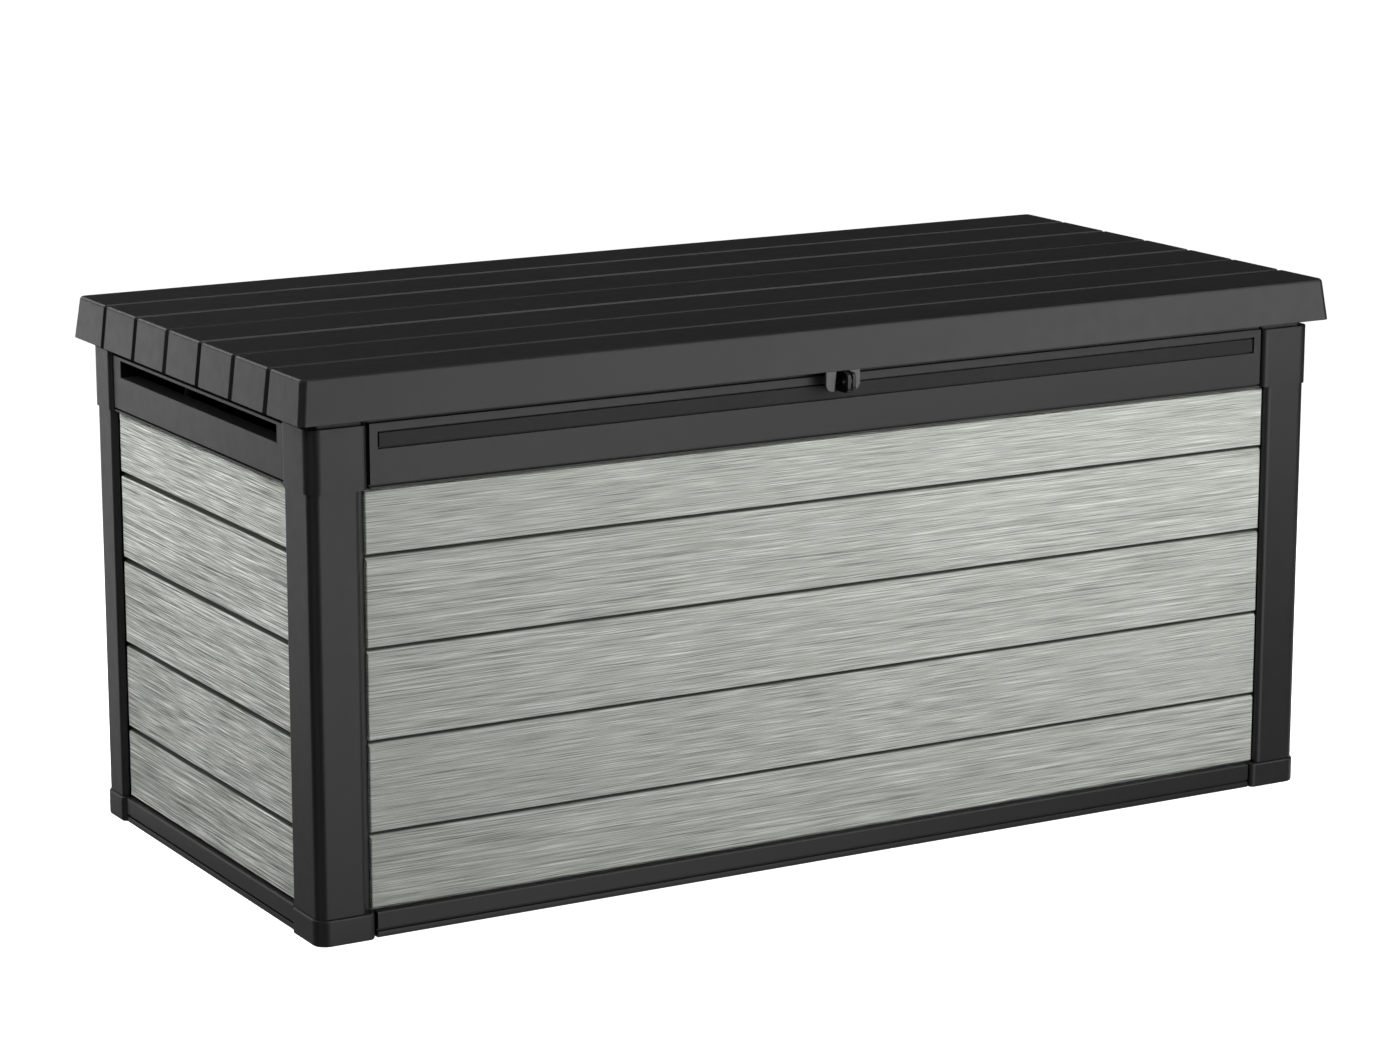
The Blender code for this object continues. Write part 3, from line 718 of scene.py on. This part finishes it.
def lug(first, last, back, front, low, high):
    """A plate seen from the side: square at the back, rounded in front, bored for a shackle."""
    middle = front + LUG_NOSE
    outline = [(back, low)] + arc((middle, low + LUG_NOSE), LUG_NOSE, 270, 180)
    outline += arc((middle, high - LUG_NOSE), LUG_NOSE, 180, 90) + [(back, high)]
    obj = to_object(loft([[(x, y, z) for y, z in outline] for x in (first, last)]), "lug")
    bore = peg(LUG_HOLE_RADIUS, LUG_HOLE, first - CUT_MARGIN, last + CUT_MARGIN)
    combine(obj, bore, "DIFFERENCE")
    return round_edges(obj, LUG_EDGE)


def build_padlock_eye():
    """The lid's notched tab with its ear, and the body's tongue that comes out through the notch."""
    low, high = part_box("lid_shell")
    front = high.y - LID_DEPTH
    left, right = LOCK_X - TAB_WIDTH / 2, LOCK_X + TAB_WIDTH / 2
    notch_left, notch_right = LOCK_X - NOTCH_HALF, LOCK_X + NOTCH_HALF
    top = LID_SKIRT_BOTTOM + TAB_OVERLAP
    notch_top = top - NOTCH_TOP
    bottom = low.z + TAB_LIFT
    shoulder = bottom + TAB_RADIUS
    outline = [(left, top)] + arc((left + TAB_RADIUS, shoulder), TAB_RADIUS, 180, 270)
    outline += [(notch_left, bottom), (notch_left, notch_top), (notch_right, notch_top)]
    outline += [(notch_right, bottom)]
    outline += arc((right - TAB_RADIUS, shoulder), TAB_RADIUS, 270, 360) + [(right, top)]
    faces = (front + GAP, front + TAB_THICK)
    tab = to_object(loft([[(x, y, z) for x, z in outline] for y in faces]), "tab")

    def rolled_lip(point):
        beside = abs(point.x - notch_left) < GAP
        return beside and abs(point.y - faces[0]) < GAP and point.z < top - NOTCH_ROLL

    round_edges(tab, NOTCH_ROLL, rolled_lip, segments=6)
    round_edges(tab, TAB_EDGE)
    piece(tab, "padlock_tab", "lid", "lid_charcoal", finish=TAB_PAINTED_LIGHT_FINISH)
    ear = lug(*EAR_X, front + EAR_ROOT, low.y, EAR_LOW, TONGUE_TOP)
    piece(ear, "padlock_ear", "lid", "eye_black", finish=FINISHES["eye_black"])

    low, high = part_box("padlock_tongue")
    root = high.y - TONGUE_PLATE / 2
    tongue = lug(LOCK_X - TONGUE_HALF, LOCK_X + TONGUE_HALF, root, low.y, TONGUE_LOW, TONGUE_TOP)
    plate = block((low.x, high.y - TONGUE_PLATE, bottom + PLATE_EDGE), (high.x, high.y, high.z))
    round_edges(plate, PLATE_EDGE)
    combine(tongue, plate, "UNION")
    piece(tongue, "padlock_tongue_moulding", "root", "eye_black", ["padlock_tongue"])


def screw_head(place, radius, height):
    """A pan head with a cross recess, facing +Y."""
    profile = [(0, radius), (0.35, radius), (0.75, 0.86 * radius), (1.0, 0.55 * radius)]
    rings = [[(place[0] + x, place[1] + share * height, place[2] + z)
              for x, z in arc((0, 0), size, 0, 345, 23)] for share, size in profile]
    head = to_object(loft(rings), "screw")
    for long_x, long_z in ((0.55, 0.12), (0.12, 0.55)):
        tool = block((place[0] - long_x * radius, place[1] + 0.4 * height, place[2] - long_z * radius),
                     (place[0] + long_x * radius, place[1] + 2 * height, place[2] + long_z * radius))
        combine(head, tool, "DIFFERENCE")
    return head


def build_hinge_screws():
    """Two screws through each hinge's body leaf."""
    for number in (1, 2, 3):
        low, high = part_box(f"hinge_body_leaf_{number}")
        middle = (low.x + high.x) / 2
        for hand, offset in (("a", -SCREW_SPREAD), ("b", SCREW_SPREAD)):
            place = (middle + offset, low.y + HINGE_LEAF, low.z + SCREW_RISE)
            head = screw_head(place, SCREW_RADIUS, SCREW_HEIGHT)
            piece(head, f"hinge_screw_{number}{hand}", "root", "zinc_steel")


build_corners()
build_panels()
build_rails()
build_lid()
build_padlock_eye()
build_hinge_screws()

# ---------------------------------------------------------------- studio
CAMERA_PLACE = (-2.7355, -4.7284, 1.5991)
CAMERA_TILT = 12.544         # degrees below the horizon
CAMERA_TURN = -29.885
CAMERA_LENS = 105.88
SKY_GLOW = 0.8
LAMP_SPREAD = 100
FLOOR_HALF = 30
FLOOR_THICK = 0.02
LIGHTS = (
    # name, place, aim, size, radiance, kind
    ("card_front", (0.55, -2.9, 0.20), (0.55, 0, 0.20), (2.1, 2.1), 1.85, "card"),
    ("card_right", (2.70, -2.9, 0.80), (2.70, 0, 0.80), (2.2, 1.35), 3.0, "card"),
    ("card_high", (1.2, -2.4, 2.6), (0.2, 0, 0.7), (3.0, 1.4), 2.4, "card"),
    ("card_left_top", (-1.5, 2.4, 1.85), (-0.72, 0, 0.62), (1.7, 0.8), 2.6, "card"),
    ("card_left_high", (-1.8, 2.3, 0.66), (-0.7, 0.2, 0.6), (1.8, 0.9), 0.72, "card"),
    ("card_left_low", (-2.2, 2.3, -0.40), (-0.7, 0.0, 0.0), (2.2, 1.1), 0.20, "card"),
    ("card_corner", (-3.4, -1.7, 0.2), (-0.7, -0.3, 0.3), (1.6, 2.4), 0.24, "card"),
    ("card_behind", (2.2, 4.0, 1.2), (0.3, 0, 0.7), (5.0, 2.0), 0.045, "card"),
    ("card_back", (0.4, 3.2, -0.1), (0.1, 0.3, 0.0), (6.0, 1.5), 0.8, "card"),
    ("card_end", (2.6, 2.0, -0.1), (0.7, 0, 0.0), (1.6, 1.5), 0.8, "card"),
    ("card_end_low", (3.2, 0, -0.80), (0.7, 0, -0.1), (2.4, 1.1), 0.8, "card"),
    ("card_far_left", (-4.2, 0, 1.8), (0, 0, 0.7), (4.0, 1.8), 0.07, "card"),
    ("card_far_right", (4.2, 0, 1.8), (0, 0, 0.7), (4.0, 1.8), 0.07, "card"),
    ("card_far_front", (0, -4.2, 2.0), (0, 0, 0.7), (5.0, 1.6), 0.07, "card"),
    ("card_below", (0, 0, -1.5), (0, 0, 0), (7.0, 7.0), 0.40, "card"),
    ("lamp_right", (1.25, -2.2, 1.45), (0.5, 0, 0.46), (1.4, 0.9), 5.1, "lamp"),
    ("lamp_front", (-0.9, -2.2, 1.45), (-0.3, 0, 0.46), (1.4, 0.9), 1.95, "lamp"),
    ("lamp_left", (-1.9, 0.30, 1.6), (-0.7, 0.0, 0.46), (1.2, 0.9), 4.3, "lamp"),
    ("lamp_back", (0.4, 2.3, 1.8), (0, 0.3, 0.4), (2.0, 0.9), 3.0, "lamp"),
    ("lamp_end", (2.3, 0.2, 1.8), (0.7, 0, 0.35), (1.2, 0.9), 3.0, "lamp"),
    ("overhead", (0, 0.2, 3.4), (0, 0, 0), (4.0, 4.0), 0.30, "both"),
)


def area_light(name, place, aim, size, radiance, kind):
    """A soft box that faces its aim. A "card" only shows in gloss, and a "lamp" only lights colour."""
    data = bpy.data.lights.new(name, "AREA")
    data.shape = "RECTANGLE"
    data.size, data.size_y = size
    data.energy = radiance * pi * size[0] * size[1]
    if kind == "lamp":
        data.spread = radians(LAMP_SPREAD)
    light = bpy.data.objects.new(name, data)
    bpy.context.scene.collection.objects.link(light)
    light.location = place
    light.rotation_euler = (Vector(aim) - Vector(place)).to_track_quat("-Z", "Y").to_euler()
    light.visible_camera = False
    light.visible_glossy = kind != "lamp"
    light.visible_diffuse = kind != "card"
    return light


def build_studio():
    scene = bpy.context.scene
    scene.view_settings.view_transform = "Standard"
    world = bpy.data.worlds.new("studio")
    scene.world = world
    world.use_nodes = True
    tree = world.node_tree
    split = tree.nodes.new("ShaderNodeSeparateXYZ")
    tree.links.new(tree.nodes.new("ShaderNodeTexCoord").outputs["Generated"], split.inputs["Vector"])
    glow = remap(tree, split.outputs["Z"], -0.05, 0.5, 0.0, SKY_GLOW)
    tree.links.new(glow, tree.nodes["Background"].inputs["Strength"])
    world.cycles_visibility.glossy = False
    for light in LIGHTS:
        area_light(*light)

    floor = block((-FLOOR_HALF, -FLOOR_HALF, -FLOOR_THICK), (FLOOR_HALF, FLOOR_HALF, 0.0))
    floor.name = "floor"
    material, tree, shader, place = new_material("studio_floor", 0.9)
    stops = ((0.3, (0.80, 0.80, 0.80)), (0.7, (0.82, 0.82, 0.82)))
    tree.links.new(ramp(tree, noise(tree, place, 0.8, 2.0), stops), shader.inputs["Base Color"])
    shader.inputs["Emission Color"].default_value = (1, 1, 1, 1)
    shader.inputs["Emission Strength"].default_value = 1.0
    floor.data.materials.append(material)
    floor.visible_glossy = False
    floor.visible_diffuse = False

    camera = bpy.data.objects.new("camera", bpy.data.cameras.new("camera"))
    scene.collection.objects.link(camera)
    camera.location = CAMERA_PLACE
    camera.rotation_euler = (radians(90 - CAMERA_TILT), 0, radians(CAMERA_TURN))
    camera.data.lens = CAMERA_LENS
    camera.data.clip_end = 200
    scene.camera = camera


def paint_cad_nodes():
    """Gives each CAD node that stays in view the finish of its slot."""
    slots = {"lid_liner": "liner_black", "floor_panel": "charcoal", "hinge": "zinc_steel",
             "strut_tube": "strut_paint", "strut_rod": "strut_chrome",
             "strut_wall": "zinc_steel", "strut_lid": "zinc_steel",
             "lid_bracket_screw": "zinc_steel", "wall_bracket_screw": "zinc_steel"}
    for name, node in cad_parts.items():
        for start, slot in slots.items():
            if name.startswith(start) and not node.hide_render:
                node.data.materials.clear()
                node.data.materials.append(FINISHES[slot])


paint_cad_nodes()
build_studio()
